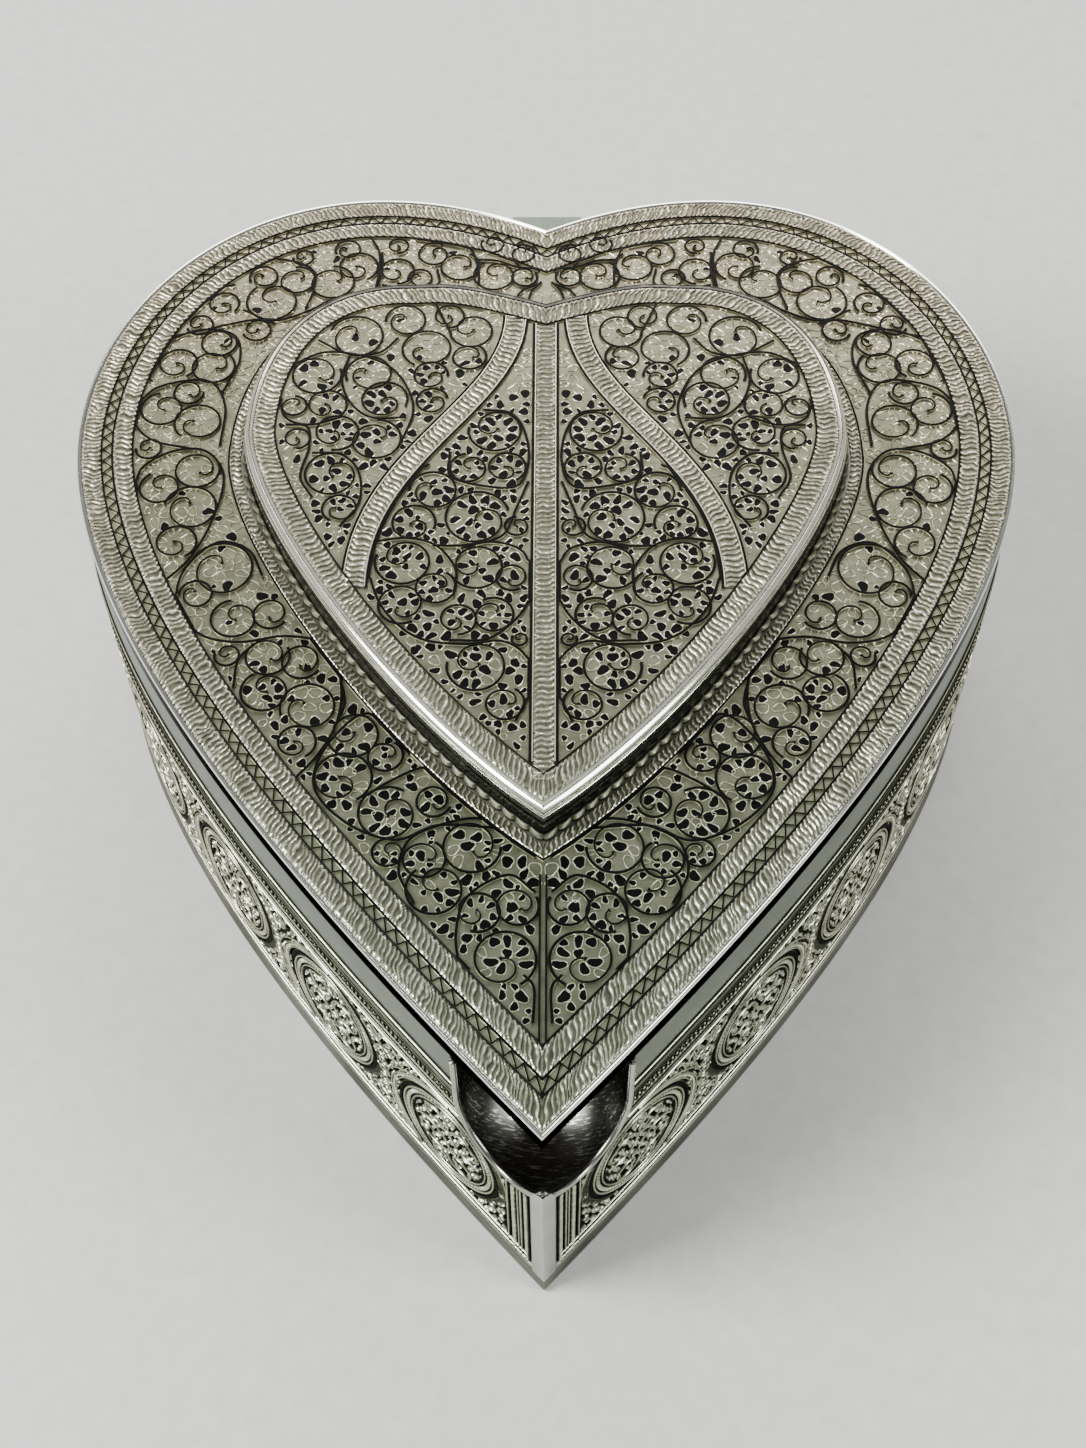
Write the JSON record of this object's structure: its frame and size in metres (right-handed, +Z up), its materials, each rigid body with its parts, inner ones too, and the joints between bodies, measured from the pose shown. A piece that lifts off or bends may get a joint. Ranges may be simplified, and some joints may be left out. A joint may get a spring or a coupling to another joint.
{
  "type": "wind-up music box",
  "caption": "Heart-shaped silver wirework box with a raised heart on a hinged lid, a thumb scoop, and a wind-up pinned-cylinder movement inside.",
  "frame": {"origin": "on the surface it stands on, below the centre of the bounding box", "axes": "+X to the right lobe seen from the front point, +Y from the front point to the hinge in the cleft, +Z up"},
  "size_m": [0.1534, 0.1774, 0.0674],
  "materials": {
    "polished_silver": "polished silver, slightly tarnished",
    "dark_scoop": "polished silver, dark and finely scratched",
    "dull_silver": "dull oxidised silver sheet",
    "wirework": "oxidised silver filigree with bright wire tops",
    "twisted_wire": "twisted and flattened silver wire",
    "velvet": "deep wine velvet",
    "mirror_glass": "silvered mirror glass",
    "cast_bed": "cast and nickel plated",
    "steel": "ground steel",
    "spring_steel": "blued spring steel",
    "brass": "satin brass",
    "clear_plastic": "clear moulded cover",
    "black_plastic": "moulded, matt"
  },
  "bodies": {
    "box": {"wall_left": "polished_silver", "wall_right": "polished_silver", "base_rim": "polished_silver", "floor_plate": "dull_silver", "thumb_scoop": "dark_scoop", "corner_strip": "polished_silver", "side_filigree_left": "wirework", "side_filigree_right": "wirework", "bead_wires_left": "wirework", "bead_wires_right": "wirework", "inner_bezel_left": "polished_silver", "inner_bezel_right": "polished_silver", "lining_wall": "velvet", "lining_floor": "velvet", "hinge_leaf_box": "polished_silver", "hinge_pin": "steel", "bedplate": "cast_bed", "bed_screws": "brass", "comb": "steel", "comb_screws": "brass", "left_bearing": "brass", "right_bearing": "brass", "governor_bracket": "brass", "movement_cover": "clear_plastic", "rod_guide": "brass"},
    "lid": {"lid_side_left": "polished_silver", "lid_side_right": "polished_silver", "lid_plate": "dull_silver", "lid_filigree": "wirework", "outer_twist_band": "twisted_wire", "zigzag_band": "wirework", "inner_twist_band": "twisted_wire", "raised_surround": "twisted_wire", "scallop_strip": "wirework", "raised_side": "polished_silver", "raised_filigree": "wirework", "raised_border": "twisted_wire", "centre_band": "twisted_wire", "leaf_band_left": "twisted_wire", "leaf_band_right": "twisted_wire", "lid_lining": "velvet", "lid_mirror": "mirror_glass", "hinge_leaf_lid": "polished_silver"},
    "key": {"winding_key": "brass", "winding_arbor": "steel"},
    "barrel": {"spring_barrel": "brass", "mainspring": "spring_steel"},
    "cylinder": {"pinned_cylinder": "brass", "cylinder_arbor": "steel", "cylinder_pinion": "brass", "cylinder_wheel": "brass"},
    "second_wheel": {"second_arbor": "steel", "worm_wheel": "brass"},
    "governor": {"governor_worm": "steel", "air_brake": "black_plastic"},
    "stop": {"stop_rod": "steel"}
  },
  "joints": [
    {"name": "lid_hinge", "type": "hinge", "parent": "box", "child": "lid", "pos_m": [0, 0.08682, 0.051], "axis": [-1, 0, 0], "range_deg": [0, 100]},
    {"name": "key_turn", "type": "hinge", "parent": "box", "child": "key", "pos_m": [0.016, 0.03322, 0.006], "axis": [0, 0, 1], "continuous": true},
    {"name": "barrel_turn", "type": "hinge", "parent": "box", "child": "barrel", "pos_m": [0.016, 0.03322, 0.022], "axis": [0, 0, 1], "continuous": true},
    {"name": "cylinder_turn", "type": "hinge", "parent": "box", "child": "cylinder", "pos_m": [0.03, 0.03322, 0.0327], "axis": [1, 0, 0], "continuous": true},
    {"name": "second_turn", "type": "hinge", "parent": "box", "child": "second_wheel", "pos_m": [0.05, 0.04356, 0.02894], "axis": [1, 0, 0], "continuous": true},
    {"name": "governor_turn", "type": "hinge", "parent": "box", "child": "governor", "pos_m": [0.0527, 0.05226, 0.02894], "axis": [0, 0, 1], "continuous": true},
    {"name": "stop_slide", "type": "slide", "parent": "box", "child": "stop", "axis": [0, 0, 1], "range_m": [0, 0.0015]}
  ],
  "couplings": [
    {"joint": "cylinder_turn", "follows": "barrel_turn", "ratio": 2.0833},
    {"joint": "second_turn", "follows": "barrel_turn", "ratio": -7.0833},
    {"joint": "governor_turn", "follows": "barrel_turn", "ratio": 56.667},
    {"joint": "stop_slide", "follows": "lid_hinge", "m_per_rad": 0.00085371}
  ]
}
